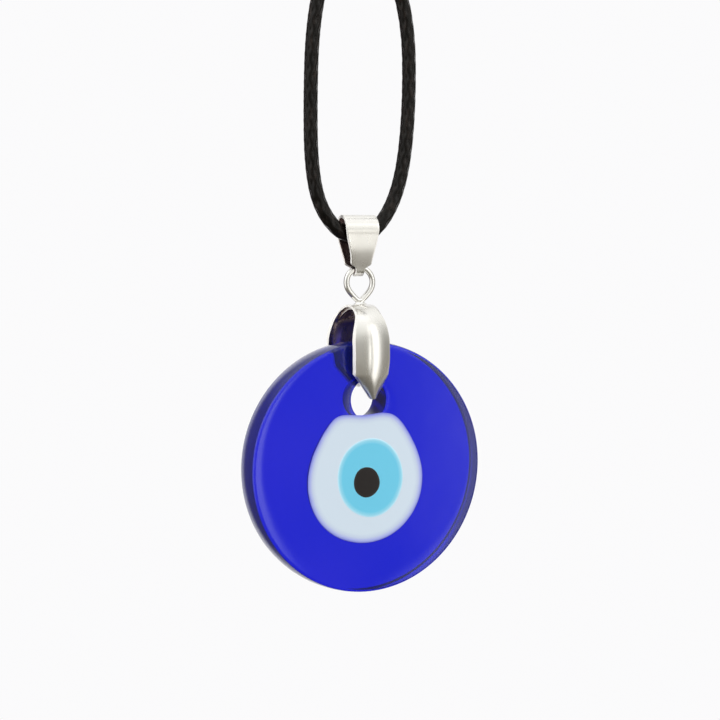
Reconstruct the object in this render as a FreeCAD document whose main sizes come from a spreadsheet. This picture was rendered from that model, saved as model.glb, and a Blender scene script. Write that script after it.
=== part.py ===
"""Evil eye pendant: a cobalt glass disc in a pinch bail, hung from a cord necklace.

Row frame: +X to the right, -Y is the front (the eye's side), +Z up, millimetres.
The origin is under the middle of the clasp, where the necklace is hung up.
Every sub-part is drawn in the pendant's own frame, whose origin is the middle of the glass
disc, and its Placement lowers it by the sheet's hang_drop.
"""
import FreeCAD, Part
import math
import os

import Sketcher

V = FreeCAD.Vector
RIGHT = V(1, 0, 0)
BACK = V(0, 1, 0)
UP = V(0, 0, 1)

# Driving dimensions, in millimetres. Heights are measured from the middle of the glass disc.
SIZES = {
    "hang_drop": 87.0,
    "disc_radius": 17.5,
    "disc_thick": 4.8,
    "disc_rounding": 0.6,
    "hole_radius": 2.85,
    "hole_height": 9.45,
    "white_radius": 8.8,
    "white_height": -1.9,
    "white_aside": -0.6,
    "white_top_radius": 3.9,
    "white_top_height": 4.8,
    "white_depth": 1.6,
    "iris_radius": 5.3,
    "iris_aside": 0.15,
    "iris_height": -1.5,
    "iris_depth": 0.9,
    "pupil_radius": 2.1,
    "pupil_aside": -0.45,
    "pupil_height": -2.1,
    "pupil_depth": 0.45,
    "peg_radius": 0.6,
    "peg_height": 11.65,
    "peg_reach": 1.5,
    "leaf_sheet": 0.7,
    "leaf_half_width": 2.6,
    "fold_half_width": 1.55,
    "fold_top": 22.7,
    "leaf_bulge": 4.2,
    "leaf_bulge_height": 16.0,
    "leaf_foot_gap": 0.15,
    "front_tip_height": 9.87,
    "front_corner_height": 13.1,
    "back_tip_height": 11.0,
    "back_corner_height": 14.2,
    "ring_wire": 0.4,
    "ring_radius": 1.9,
    "ring_height": 25.9,
    "ring_aside": -0.25,
    "ring_foot_radius": 0.45,
    "ring_foot_height": 23.25,
    "strip_sheet": 0.45,
    "strip_top_radius": 1.75,
    "strip_top_height": 33.0,
    "strip_eye_radius": 0.75,
    "strip_half_width": 2.42,
    "strip_aside": -0.5,
    "cord_diameter": 2.0,
    "cord_end_radius": 1.5,
    "cord_end_bore": 1.05,
    "cord_end_length": 6.0,
    "cord_end_depth": 5.0,
    "cap_eye_radius": 0.9,
    "cap_eye_wire": 0.35,
    "cap_eye_sunk": 0.15,
    "link_aside": 4.35,
    "link_height": 87.9,
    "link_radius": 1.7,
    "link_wire": 0.35,
    "clasp_thick": 2.4,
    "clasp_tall": 3.3,
    "clasp_rounding": 0.7,
    "clasp_tail_radius": 0.95,
    "clasp_tail_wire": 0.4,
    "claw_outer": 2.2,
    "claw_inner": 1.35,
    "claw_thick": 1.0,
    "lever_thick": 0.9,
    "lever_slot": 1.1,
    "slot_floor": 0.75,
    "pivot_aside": 0.55,
    "pivot_rise": 2.55,
    "pin_radius": 0.4,
    "pin_clearance": 0.04,
    "spring_wire": 0.12,
}

# Route of the cord from the left cap over the bail to the right cap: (across, height).
# The two runs beside the middle are where the weight of the glass folds the limp cord, so its
# bend there is tighter than elsewhere.
CORD_ROUTE = [
    (-4.35, 82.3), (-4.35, 76.0), (-5.3, 69.4), (-7.2, 61.0), (-7.6, 50.5),
    (-7.5, 41.6), (-6.2, 35.9), (-2.7, 32.1),
    (1.4, 32.1), (4.8, 36.1), (6.75, 42.0), (7.65, 51.0),
    (7.6, 61.5), (5.4, 69.4), (4.35, 76.0), (4.35, 82.3),
]
ARC_SHARE = 0.45

# The leaves are a kite with rounded shoulders; these are the outline's small steps.
TIP_HALF = 0.35
SHOULDER_IN = 0.3
SHOULDER_RISE = 1.6
# The ribbon bail's lips are narrower than its strip: (half width, height above the eye).
STRIP_LIPS = [(0.6, -2.0), (0.65, -0.75), (0.75, 0.0), (1.45, 0.6)]
# Gaps left between parts that hang in each other.
LINK_PLAY = 0.2
EYE_PLAY = 0.05
# The lever's side view: (anchor, across, up), from the pin's axis or the claw's middle.
LEVER_SIDE = [
    ("pivot", -0.75, -0.2), ("pivot", 0.3, -0.75), ("neck", -1.35, -0.15),
    ("claw", -0.25, 1.35), ("claw", -0.25, 2.05), ("pivot", 1.2, 0.75), ("pivot", -0.3, 0.8),
    ("pivot", -2.0, 1.9), ("pivot", -2.5, 1.6), ("pivot", -1.1, 0.4),
]
# The spring's bends: across from the pin, then height above the slot's floor; its free end is
# under the lever's tail.
SPRING_BENDS = [(0.6, 0.0), (-2.2, 0.0), (-2.5, 0.35)]
SPRING_END = (-1.2, -0.45)

doc = FreeCAD.newDocument("evil_eye_pendant")
sheet = doc.addObject("Spreadsheet::Sheet", "Sizes")
for row, (alias, size) in enumerate(SIZES.items(), start=1):
    sheet.set(f"A{row}", alias)
    sheet.set(f"B{row}", str(size))
    sheet.setAlias(f"B{row}", alias)
doc.recompute()

SUBPARTS = []


def value(alias):
    """The number in the sheet's cell of that alias."""
    return float(sheet.get(alias))


def cells(formula):
    """Turn the aliases in a formula into references to the sheet."""
    words = formula.replace("(", " ( ").replace(")", " ) ").split()
    return " ".join(f"Sizes.{word}" if word in SIZES else word for word in words)


def finish_subpart(obj, node):
    """Name a sub-part after its node, lower it by hang_drop and list it for export."""
    obj.Label = node
    height = obj.Placement.Base.z
    obj.setExpression("Placement.Base.z", f"{height} - Sizes.hang_drop")
    SUBPARTS.append((node, obj))


def computed(node, shape):
    """A sub-part whose shape is worked out from the sheet by Part's own functions."""
    obj = doc.addObject("Part::Feature", f"{node}_shape")
    obj.Shape = shape
    finish_subpart(obj, node)
    return obj


def origin_plane(body, role):
    return next(f for f in body.Origin.OriginFeatures if f.Role == role)


def new_body(name):
    return doc.addObject("PartDesign::Body", name)


def new_sketch(body, name, role="XZ_Plane"):
    sketch = body.newObject("Sketcher::SketchObject", name)
    sketch.AttachmentSupport = [(origin_plane(body, role), "")]
    sketch.MapMode = "FlatFace"
    return sketch


def sketch_circle(sketch, radius, height, aside="0"):
    """A circle whose radius and centre follow the sheet."""
    index = sketch.addGeometry(Part.Circle(V(0, 0, 0), UP, 1.0), False)
    sizes = (("Radius", (index,), radius), ("DistanceX", (-1, 1, index, 3), aside),
             ("DistanceY", (-1, 1, index, 3), height))
    for kind, picks, formula in sizes:
        number = sketch.addConstraint(Sketcher.Constraint(kind, *picks, 1.0))
        sketch.setExpression(f"Constraints[{number}]", cells(formula))


def drop_angle(big, big_height, small, small_height):
    """How far above level the straight flanks of a drop leave its two round ends."""
    return math.asin((big - small) / (small_height - big_height))


def drop_points(big, big_height, small, small_height, sign=1):
    """Where one flank of a drop (two circles and their common tangents) meets the circles."""
    lean = drop_angle(big, big_height, small, small_height)
    return [(sign * r * math.cos(lean), h + r * math.sin(lean))
            for r, h in ((big, big_height), (small, small_height))]


def sketch_drop(sketch, big, big_height, small, small_height):
    """A drop: a large round end, a small round end above it and two tangent flanks."""
    numbers = [value(alias) for alias in (big, big_height, small, small_height)]
    (right_low, right_high) = drop_points(*numbers)
    (left_low, left_high) = drop_points(*numbers, sign=-1)

    def arc(ends, radius, height, passing):
        middle = V(0, height + passing * radius, 0)
        return Part.Arc(V(*ends[0], 0), middle, V(*ends[1], 0))

    low = sketch.addGeometry(arc((left_low, right_low), numbers[0], numbers[1], -1), False)
    high = sketch.addGeometry(arc((right_high, left_high), numbers[2], numbers[3], 1), False)
    right = sketch.addGeometry(Part.LineSegment(V(*right_low, 0), V(*right_high, 0)), False)
    left = sketch.addGeometry(Part.LineSegment(V(*left_high, 0), V(*left_low, 0)), False)
    for picks in ((low, 2, right, 1), (right, 2, high, 1), (high, 2, left, 1), (left, 2, low, 1)):
        sketch.addConstraint(Sketcher.Constraint("Tangent", *picks))
    for index, radius, height in ((low, big, big_height), (high, small, small_height)):
        sketch.addConstraint(Sketcher.Constraint("PointOnObject", index, 3, -2))
        for kind, picks, alias in (("Radius", (index,), radius),
                                   ("DistanceY", (-1, 1, index, 3), height)):
            number = sketch.addConstraint(Sketcher.Constraint(kind, *picks, value(alias)))
            sketch.setExpression(f"Constraints[{number}]", f"Sizes.{alias}")


def pad(body, sketch, length, reverse=False, midplane=False):
    feature = body.newObject("PartDesign::Pad", f"{sketch.Name}_pad")
    feature.Profile = sketch
    feature.setExpression("Length", cells(length))
    feature.Reversed = reverse
    feature.Midplane = midplane
    return feature


def pocket(body, sketch, length, reverse=False, midplane=False):
    feature = body.newObject("PartDesign::Pocket", f"{sketch.Name}_pocket")
    feature.Profile = sketch
    feature.setExpression("Length", cells(length))
    feature.Reversed = reverse
    feature.Midplane = midplane
    return feature


# ---- Glass disc and the eye fused into its front ----

def shift_sketch(sketch, formula, aside="0"):
    """Move a sketch off the XZ plane, positive towards the front (-Y), and to one side."""
    sketch.setExpression("AttachmentOffset.Base.z", cells(formula))
    sketch.setExpression("AttachmentOffset.Base.x", cells(aside))


def glass_disc():
    body = new_body("GlassDisc")
    outline = new_sketch(body, "DiscOutline")
    sketch_circle(outline, "disc_radius", "0")
    blank = pad(body, outline, "disc_thick", midplane=True)
    doc.recompute()
    rim = [f"Edge{number}" for number, edge in enumerate(blank.Shape.Edges, start=1)
           if len(edge.Vertexes) == 1]
    rounding = body.newObject("PartDesign::Fillet", "DiscRounding")
    rounding.Base = (blank, rim)
    rounding.setExpression("Radius", "Sizes.disc_rounding")
    doc.recompute()
    hole = new_sketch(body, "DiscHole")
    sketch_circle(hole, "hole_radius", "hole_height")
    pocket(body, hole, "disc_thick * 2", midplane=True)
    seat = new_sketch(body, "WhiteSeat")
    shift_sketch(seat, "disc_thick / 2 - white_depth", "white_aside")
    sketch_drop(seat, "white_radius", "white_height", "white_top_radius", "white_top_height")
    pocket(body, seat, "white_depth", reverse=True)
    finish_subpart(body, "glass_disc")


def eye_layer(node, depth, draw, aside="0", seat_depth=None, draw_seat=None, pierced=False):
    """One fused layer of the eye, flush with the front face, with a seat for the next one."""
    name = "".join(word.title() for word in node.split("_"))
    body = new_body(name)
    outline = new_sketch(body, f"{name}Outline")
    shift_sketch(outline, f"disc_thick / 2 - {depth}", aside)
    draw(outline)
    pad(body, outline, depth)
    if pierced:
        hole = new_sketch(body, f"{name}Hole")
        sketch_circle(hole, "hole_radius", "hole_height")
        pocket(body, hole, "disc_thick * 2", midplane=True)
    if draw_seat:
        seat = new_sketch(body, f"{name}Seat")
        shift_sketch(seat, f"disc_thick / 2 - {seat_depth}")
        draw_seat(seat)
        pocket(body, seat, seat_depth, reverse=True)
    finish_subpart(body, node)


def draw_white(sketch):
    sketch_drop(sketch, "white_radius", "white_height", "white_top_radius", "white_top_height")


def draw_iris(sketch):
    sketch_circle(sketch, "iris_radius", "iris_height", "iris_aside")


def draw_pupil(sketch):
    sketch_circle(sketch, "pupil_radius", "pupil_height", "pupil_aside")


# ---- Pinch bail: a folded strip, two pegs and a soldered ring ----

def upright(points, depth):
    """A vertical polygon (across, height), extruded along Y from depth[0] to depth[1]."""
    corners = [V(x, depth[0], z) for x, z in points]
    face = Part.Face(Part.makePolygon(corners + corners[:1]))
    return face.extrude(V(0, depth[1] - depth[0], 0))


def leaf_arc():
    """Centre and radius of the middle line of the front leaf's arc, seen from the side."""
    foot = value("disc_thick") / 2 + value("leaf_foot_gap") + value("leaf_sheet") / 2
    rise = value("leaf_bulge_height") - value("front_tip_height")
    out = value("leaf_bulge") - foot
    radius = (rise ** 2 + out ** 2) / (2 * out)
    return value("leaf_bulge") - radius, value("leaf_bulge_height"), radius


def fold_radius(centre_depth, centre_height, leaf_radius):
    """Radius of the fold's middle line, tangent inside both leaf arcs and under fold_top."""
    rise = value("fold_top") - value("leaf_sheet") / 2 - centre_height
    return ((leaf_radius ** 2 - centre_depth ** 2 - rise ** 2)
            / (2 * (leaf_radius - rise)))


def bail_skin(offset, low):
    """Half of the folded strip's side view, offset from its middle line: front tip to fold."""
    depth, height, radius = leaf_arc()
    fold = fold_radius(depth, height, radius)
    fold_height = value("fold_top") - value("leaf_sheet") / 2 - fold
    lean = math.atan2(fold_height - height, -depth)
    leaf = radius + offset
    low_turn = math.asin((low - height) / leaf)
    mid_turn = (low_turn + lean) / 2

    def on_leaf(turn):
        return V(0, -(depth + leaf * math.cos(turn)), height + leaf * math.sin(turn))

    def on_fold(turn):
        return V(0, -(fold + offset) * math.cos(turn),
                 fold_height + (fold + offset) * math.sin(turn))

    top = on_fold(math.pi / 2)
    return [Part.Arc(on_leaf(low_turn), on_leaf(mid_turn), on_leaf(lean)),
            Part.Arc(on_leaf(lean), on_fold((lean + math.pi / 2) / 2), top)]


def half_bail(low):
    """The front half of the folded strip as a solid as wide as the leaf."""
    half = value("leaf_sheet") / 2
    outer = bail_skin(half, low)
    inner = bail_skin(-half, low)
    foot = Part.LineSegment(inner[0].value(inner[0].FirstParameter),
                            outer[0].value(outer[0].FirstParameter))
    head = Part.LineSegment(inner[1].value(inner[1].LastParameter),
                            outer[1].value(outer[1].LastParameter))
    edges = [curve.toShape() for curve in (*outer, head, *inner, foot)]
    side = Part.Face(Part.Wire(Part.__sortEdges__(edges)))
    width = 2 * value("leaf_half_width")
    side.translate(V(-width / 2, 0, 0))
    return side.extrude(V(width, 0, 0))


def leaf_outline(corner, tip):
    """Outline of one leaf seen from the front: a kite with rounded shoulders."""
    wide = value("leaf_half_width")
    fold = value("fold_half_width")
    top = value("fold_top")
    waist = value("leaf_bulge_height")
    right = [(TIP_HALF, tip), (wide - SHOULDER_IN, corner), (wide, corner + SHOULDER_RISE),
             (wide, waist + 1.2), (wide - 0.25, waist + 3.0), (fold + 0.35, top - 1.4),
             (fold, top + 1.0)]
    return right + [(-x, z) for x, z in reversed(right)]


def pinch_bail():
    halves = []
    for side, leaf in ((1, "front"), (-1, "back")):
        tip = value(f"{leaf}_tip_height")
        corner = value(f"{leaf}_corner_height")
        strip = half_bail(value("front_tip_height") - 0.2)
        outline = upright(leaf_outline(corner, tip), (-8, 0))
        half = strip.common(outline)
        halves.append(half if side > 0 else half.mirror(V(0, 0, 0), BACK))
    computed("pinch_bail", halves[0].fuse(halves[1]).removeSplitter())


def bail_inner_depth(height):
    """How far the inner face of a leaf is from the disc's middle plane at a height."""
    depth, middle, radius = leaf_arc()
    inner = radius - value("leaf_sheet") / 2
    return depth + math.sqrt(inner ** 2 - (height - middle) ** 2)


def peg(node, side):
    """A peg from a leaf's inner face into the disc's hole; side is -1 in front, 1 behind."""
    root = bail_inner_depth(value("peg_height")) + value("leaf_sheet") / 3
    end = value("disc_thick") / 2 - value("peg_reach")
    stub = doc.addObject("Part::Cylinder", f"{node}_cylinder")
    stub.setExpression("Radius", "Sizes.peg_radius")
    stub.Height = root - end
    turned = FreeCAD.Rotation(RIGHT, -90 * side)
    stub.Placement = FreeCAD.Placement(V(0, side * end, value("peg_height")), turned)
    finish_subpart(stub, node)


def drop_wire(big, big_height, small, small_height):
    """A closed drop-shaped path in the XZ plane, small end below, starting at its top."""
    lean = drop_angle(big, -big_height, small, -small_height)

    def at(radius, height, turn):
        return V(radius * math.cos(turn), 0, height + radius * math.sin(turn))

    quarter = math.pi / 2
    starts = (-lean, -lean / 2 + quarter / 2, quarter)
    right = Part.Arc(*(at(big, big_height, turn) for turn in starts))
    left = Part.Arc(*(at(big, big_height, math.pi - turn) for turn in reversed(starts)))
    foot = Part.Arc(at(small, small_height, math.pi + lean), at(small, small_height, -quarter),
                    at(small, small_height, -lean))
    flanks = [Part.LineSegment(at(big, big_height, turn), at(small, small_height, turn))
              for turn in (math.pi + lean, -lean)]
    edges = [left, flanks[0], foot, flanks[1], right]
    return Part.Wire([edge.toShape() for edge in edges])


def pinch_bail_ring():
    sizes = [value(alias) for alias in
             ("ring_radius", "ring_height", "ring_foot_radius", "ring_foot_height")]
    path = drop_wire(*sizes)
    start = V(0, 0, sizes[0] + sizes[1])
    section = Part.Wire(Part.makeCircle(value("ring_wire"), start, RIGHT))
    ring = path.makePipeShell([section], True, True)
    ring.translate(V(value("ring_aside"), 0, 0))
    computed("pinch_bail_ring", ring)


# ---- Ribbon bail on the cord ----

def cord_bail():
    """A strip bent into a drop (small eye below, round top on the cord), tapered downwards."""
    eye_height = value("ring_height") + value("ring_radius")
    sheet_thick = value("strip_sheet")
    loops = []
    for grow in (sheet_thick, 0):
        loop = drop_wire(value("strip_top_radius") + grow, value("strip_top_height"),
                         value("strip_eye_radius") + grow, eye_height)
        loops.append(Part.Face(loop))
    side = loops[0].cut(loops[1])
    side.rotate(V(0, 0, 0), UP, 90)
    wide = value("strip_half_width")
    side.translate(V(-wide, 0, 0))
    strip = side.extrude(V(2 * wide, 0, 0))
    top = value("strip_top_height")
    right = [(half, eye_height + rise) for half, rise in STRIP_LIPS]
    right += [(wide - 0.1, top - 0.4), (wide, top + 3)]
    outline = upright(right + [(-x, z) for x, z in reversed(right)], (-4, 4))
    strip = strip.common(outline)
    strip.translate(V(value("strip_aside"), 0, 0))
    computed("cord_bail", strip)


# ---- Cord and its two caps ----

def cord_path():
    """The route's straight runs joined by tangent arcs, with each arc's radius."""
    points = [V(x, 0, z) for x, z in CORD_ROUTE]
    edges = []
    radii = []
    last = points[0]
    for before, corner, after in zip(points, points[1:], points[2:]):
        come = (corner - before).normalize()
        leave = (after - corner).normalize()
        half_turn = come.getAngle(leave) / 2
        trim = ARC_SHARE * min(corner.distanceToPoint(before), after.distanceToPoint(corner))
        radius = trim / math.tan(half_turn)
        begin = corner - come * trim
        end = corner + leave * trim
        inward = (leave - come).normalize()
        middle = corner + inward * (radius / math.cos(half_turn) - radius)
        edges.append(Part.LineSegment(last, begin).toShape())
        edges.append(Part.Arc(begin, middle, end).toShape())
        radii.append(radius)
        last = end
    edges.append(Part.LineSegment(last, points[-1]).toShape())
    return Part.Wire(edges), radii


def cord():
    path, radii = cord_path()
    radius = value("cord_diameter") / 2
    section = Part.Wire(Part.makeCircle(radius, path.Vertexes[0].Point, UP))
    tube = path.makePipeShell([section], True, True)
    expected = math.pi * radius ** 2 * path.Length
    print("cord: length %.1f mm, volume %.2f of %.2f mm3" % (path.Length, tube.Volume, expected))
    print("cord bend radii, mm:", ", ".join("%.1f" % bend for bend in radii))
    computed("cord", tube)


def lying_torus(name, major, minor, centre, axis):
    """A wire ring bound to the sheet; axis is the direction of its hole."""
    ring = doc.addObject("Part::Torus", name)
    ring.setExpression("Radius1", cells(major))
    ring.setExpression("Radius2", cells(minor))
    ring.Placement = FreeCAD.Placement(centre, FreeCAD.Rotation(UP, axis))
    return ring


def link_bottom():
    return value("link_height") - 2 * value("link_radius")


def cord_end(node, side):
    """A glue-in cap with a blind bore for the cord and an eye for the jump ring."""
    across = side * value("link_aside")
    play = value("cap_eye_radius") - value("cap_eye_wire") - value("link_wire") - EYE_PLAY
    eye_height = link_bottom() - play
    eye = lying_torus(f"{node}_eye", "cap_eye_radius", "cap_eye_wire",
                      V(across, 0, eye_height), BACK)
    barrel_top = eye_height - value("cap_eye_radius") - value("cap_eye_sunk")
    barrel = doc.addObject("Part::Cylinder", f"{node}_barrel")
    barrel.setExpression("Radius", "Sizes.cord_end_radius")
    barrel.setExpression("Height", "Sizes.cord_end_length")
    barrel.Placement.Base = V(across, 0, barrel_top - value("cord_end_length"))
    bore = doc.addObject("Part::Cylinder", f"{node}_bore")
    bore.setExpression("Radius", "Sizes.cord_end_bore")
    bore.setExpression("Height", "Sizes.cord_end_depth")
    bore.Placement.Base = barrel.Placement.Base
    tube = doc.addObject("Part::Cut", f"{node}_tube")
    tube.Base = barrel
    tube.Tool = bore
    cap = doc.addObject("Part::Fuse", f"{node}_cap")
    cap.Base = tube
    cap.Tool = eye
    finish_subpart(cap, node)


def clasp_ring(node, side):
    """A jump ring that hangs in the clasp and carries a cap's eye."""
    centre = V(side * value("link_aside"), 0, value("link_height") - value("link_radius"))
    ring = lying_torus(f"{node}_torus", "link_radius", "link_wire", centre, RIGHT)
    finish_subpart(ring, node)


# ---- Lobster clasp, lying across the top ----

def clasp_spots():
    """Named places of the clasp in the pendant's frame."""
    link = value("link_height")
    aside = value("link_aside")
    claw_rest = link - value("link_wire") - LINK_PLAY
    return {
        "tail": V(-aside, 0, link + value("clasp_tail_radius") - 2 * value("clasp_tail_wire")),
        "claw": V(aside, 0, claw_rest + value("claw_inner")),
        "pivot": V(value("pivot_aside"), 0, value("hang_drop") + value("pivot_rise")),
        "base": value("hang_drop"),
    }


def block(low, high):
    size = high - low
    return Part.makeBox(size.x, size.y, size.z, low)


def clasp_body():
    spots = clasp_spots()
    half = value("clasp_thick") / 2
    base = spots["base"]
    tail, claw, pivot = spots["tail"], spots["claw"], spots["pivot"]
    back_end = tail.x + value("clasp_tail_radius")
    front_end = claw.x - value("claw_inner") + 0.1
    barrel = block(V(back_end - 0.1, -half, base), V(front_end, half, base + value("clasp_tall")))
    crosswise = [edge for edge in barrel.Edges
                 if abs(edge.tangentAt(edge.FirstParameter).x) < 0.5]
    barrel = barrel.makeFillet(value("clasp_rounding"), crosswise)
    claw_half = value("claw_thick") / 2
    ring = Part.makeCylinder(value("claw_outer"), 2 * claw_half,
                             V(claw.x, -claw_half, claw.z), BACK)
    mouth = Part.makeCylinder(value("claw_inner"), 4 * half, V(claw.x, -2 * half, claw.z), BACK)
    gate = block(V(claw.x - 3, -2 * half, claw.z + 0.25), V(claw.x - 0.15, 2 * half, claw.z + 4))
    slot_half = value("lever_slot") / 2
    floor = value("slot_floor")
    slot = block(V(back_end + floor, -slot_half, base + floor),
                 V(claw.x - 0.5, slot_half, base + 6))
    solid = barrel.fuse(ring).cut(mouth).cut(gate).cut(slot)
    solid = solid.fuse(Part.makeTorus(value("clasp_tail_radius"), value("clasp_tail_wire"),
                                      tail, BACK))
    bore = Part.makeCylinder(value("pin_radius"), 4 * half, pivot - BACK * 2 * half, BACK)
    computed("clasp_body", solid.cut(bore).removeSplitter())


def clasp_pin():
    pivot = clasp_spots()["pivot"]
    pin = doc.addObject("Part::Cylinder", "clasp_pin_cylinder")
    pin.setExpression("Radius", "Sizes.pin_radius")
    pin.setExpression("Height", "Sizes.clasp_thick")
    pin.Placement = FreeCAD.Placement(pivot - BACK * value("clasp_thick") / 2,
                                      FreeCAD.Rotation(UP, BACK))
    finish_subpart(pin, "clasp_pin")


def clasp_lever():
    """The gate: an arm that closes the claw's mouth and a thumb tab behind the pin."""
    spots = clasp_spots()
    pivot, claw = spots["pivot"], spots["claw"]
    half = value("lever_thick") / 2
    anchors = {"pivot": pivot, "claw": claw, "neck": V(claw.x, 0, pivot.z)}
    side = [(anchors[name].x + across, anchors[name].z + up) for name, across, up in LEVER_SIDE]
    arm = upright(side, (-half, half))
    bore = Part.makeCylinder(value("pin_radius") + value("pin_clearance"), 4 * half,
                             pivot - BACK * 2 * half, BACK)
    computed("clasp_lever", arm.cut(bore))


def clasp_spring():
    """A small bent wire in the slot's floor that pushes the lever's tail up."""
    spots = clasp_spots()
    pivot = spots["pivot"]
    wire = value("spring_wire")
    floor = spots["base"] + value("slot_floor") + wire
    points = [V(pivot.x + across, 0, floor + up) for across, up in SPRING_BENDS]
    points.append(V(pivot.x + SPRING_END[0], 0, pivot.z + SPRING_END[1]))
    path = Part.makePolygon(points)
    section = Part.Wire(Part.makeCircle(wire, points[0], RIGHT))
    computed("clasp_spring", path.makePipeShell([section], True, True, 2))


glass_disc()
eye_layer("eye_white", "white_depth", draw_white, "white_aside", "iris_depth", draw_iris, True)
eye_layer("eye_iris", "iris_depth", draw_iris, "0", "pupil_depth", draw_pupil)
eye_layer("eye_pupil", "pupil_depth", draw_pupil)
pinch_bail()
peg("pinch_bail_prong_front", -1)
peg("pinch_bail_prong_back", 1)
pinch_bail_ring()
cord_bail()
cord()
for side, word in ((-1, "left"), (1, "right")):
    cord_end(f"cord_end_{word}", side)
    clasp_ring(f"clasp_ring_{word}", side)
clasp_body()
clasp_pin()
clasp_lever()
clasp_spring()
doc.recompute()

for obj in doc.Objects:
    if "Invalid" in obj.State or "Error" in obj.State:
        raise RuntimeError(f"{obj.Label} failed: {obj.State}")
os.makedirs("parts", exist_ok=True)
for node, obj in SUBPARTS:
    shape = obj.Shape
    if shape.isNull() or not shape.isValid() or not shape.Solids:
        raise RuntimeError(f"{node} has no valid solid")
    shape.exportStep(f"parts/{node}.step")
    box = shape.BoundBox
    print("%-24s %d solid(s) %9.3f mm3  x %.2f..%.2f  y %.2f..%.2f  z %.2f..%.2f" % (
        node, len(shape.Solids), shape.Volume, box.XMin, box.XMax, box.YMin, box.YMax,
        box.ZMin, box.ZMax))
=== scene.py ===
import math

import bmesh
import bpy
import numpy as np
from mathutils import Matrix, Vector


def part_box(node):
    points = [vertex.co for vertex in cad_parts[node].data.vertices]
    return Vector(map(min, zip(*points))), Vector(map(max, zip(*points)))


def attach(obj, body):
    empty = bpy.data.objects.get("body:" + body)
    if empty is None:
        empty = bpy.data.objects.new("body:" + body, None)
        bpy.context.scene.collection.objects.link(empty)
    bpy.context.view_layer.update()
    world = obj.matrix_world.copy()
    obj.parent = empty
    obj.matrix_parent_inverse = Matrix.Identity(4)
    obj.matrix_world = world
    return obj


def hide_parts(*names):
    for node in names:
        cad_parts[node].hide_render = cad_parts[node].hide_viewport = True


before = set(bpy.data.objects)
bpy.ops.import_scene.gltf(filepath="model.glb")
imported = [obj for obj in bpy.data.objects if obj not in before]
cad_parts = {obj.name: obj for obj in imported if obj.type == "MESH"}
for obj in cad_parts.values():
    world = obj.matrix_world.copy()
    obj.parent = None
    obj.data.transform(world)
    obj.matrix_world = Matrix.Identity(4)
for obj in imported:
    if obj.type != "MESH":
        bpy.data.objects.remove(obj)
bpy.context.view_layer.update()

MM = 0.001

# ---------------------------------------------------------------- places from the frame

disc_low, disc_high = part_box("glass_disc")
DISC = (disc_low + disc_high) / 2
DISC_R = (disc_high.x - disc_low.x) / 2
GLASS_HALF = (disc_high.y - disc_low.y) / 2

# The hole, its height above the disc's middle, and its width as a share of its height.
HOLE_R = 2.85 * MM
HOLE_UP = 9.45 * MM
HOLE_SQUEEZE = 0.94


def at(x, y, z):
    """A point given in millimetres from the middle of the glass disc."""
    return Vector((DISC.x + x * MM, DISC.y + y * MM, DISC.z + z * MM))


# ---------------------------------------------------------------- camera, light and floor

CAMERA_AZIMUTH = math.radians(-25.3)
CAMERA_ELEVATION = math.radians(3.5)
CAMERA_ROLL = math.radians(0.3)
CAMERA_DISTANCE = 240 * MM
CAMERA_LENS = 85.1
AIM_ABOVE_DISC = 14.85
AIM_ASIDE = -0.22


def camera_axes():
    """Unit vectors towards the camera, to its right and up."""
    a, e = CAMERA_AZIMUTH, CAMERA_ELEVATION
    back = Vector((math.sin(a) * math.cos(e), -math.cos(a) * math.cos(e), math.sin(e)))
    right = Vector((math.cos(a), math.sin(a), 0))
    return back, right, back.cross(right)


def make_camera():
    back, right, up = camera_axes()
    data = bpy.data.cameras.new("camera")
    data.lens = CAMERA_LENS
    data.clip_start = 0.005
    data.clip_end = 20
    camera = bpy.data.objects.new("camera", data)
    bpy.context.scene.collection.objects.link(camera)
    aim = DISC + right * AIM_ASIDE * MM + up * AIM_ABOVE_DISC * MM
    turn = Matrix((right, up, back)).transposed().to_4x4()
    roll = Matrix.Rotation(-CAMERA_ROLL, 4, "Z")
    camera.matrix_world = Matrix.Translation(aim + back * CAMERA_DISTANCE) @ turn @ roll
    bpy.context.scene.camera = camera


def area_light(name, place, aim, size, watts, colour):
    """A soft light for matt surfaces; mirrors see the studio in the world instead."""
    data = bpy.data.lights.new(name, "AREA")
    data.shape = "RECTANGLE"
    data.size, data.size_y = size
    data.energy = watts
    data.color = colour
    light = bpy.data.objects.new(name, data)
    bpy.context.scene.collection.objects.link(light)
    light.location = place
    light.rotation_mode = "QUATERNION"
    light.rotation_quaternion = (Vector(aim) - Vector(place)).to_track_quat("-Z", "Y")
    light.visible_glossy = False
    light.visible_transmission = False


# Where the lights point; then, for each, its place from there, size, watts and colour.
LIGHT_AIM = at(0, 0, 20)
WIDE, TALL = (0.5, 0.4), (0.3, 0.5)
LIGHTS = {
    "soft_front": ((-0.10, -0.55, 0.30), WIDE, 2.5, (1.0, 0.99, 0.97)),
    "soft_right": ((0.50, -0.40, 0.10), TALL, 0.7, (1, 1, 1)),
    "soft_left": ((-0.55, -0.02, 0.12), TALL, 2.2, (1, 1, 1)),
    "soft_top": ((0.0, 0.05, 0.6), WIDE, 0.8, (1, 1, 1)),
}


def make_lights():
    for name, (place, size, watts, colour) in LIGHTS.items():
        area_light(name, LIGHT_AIM + Vector(place), LIGHT_AIM, size, watts, colour)


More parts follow.
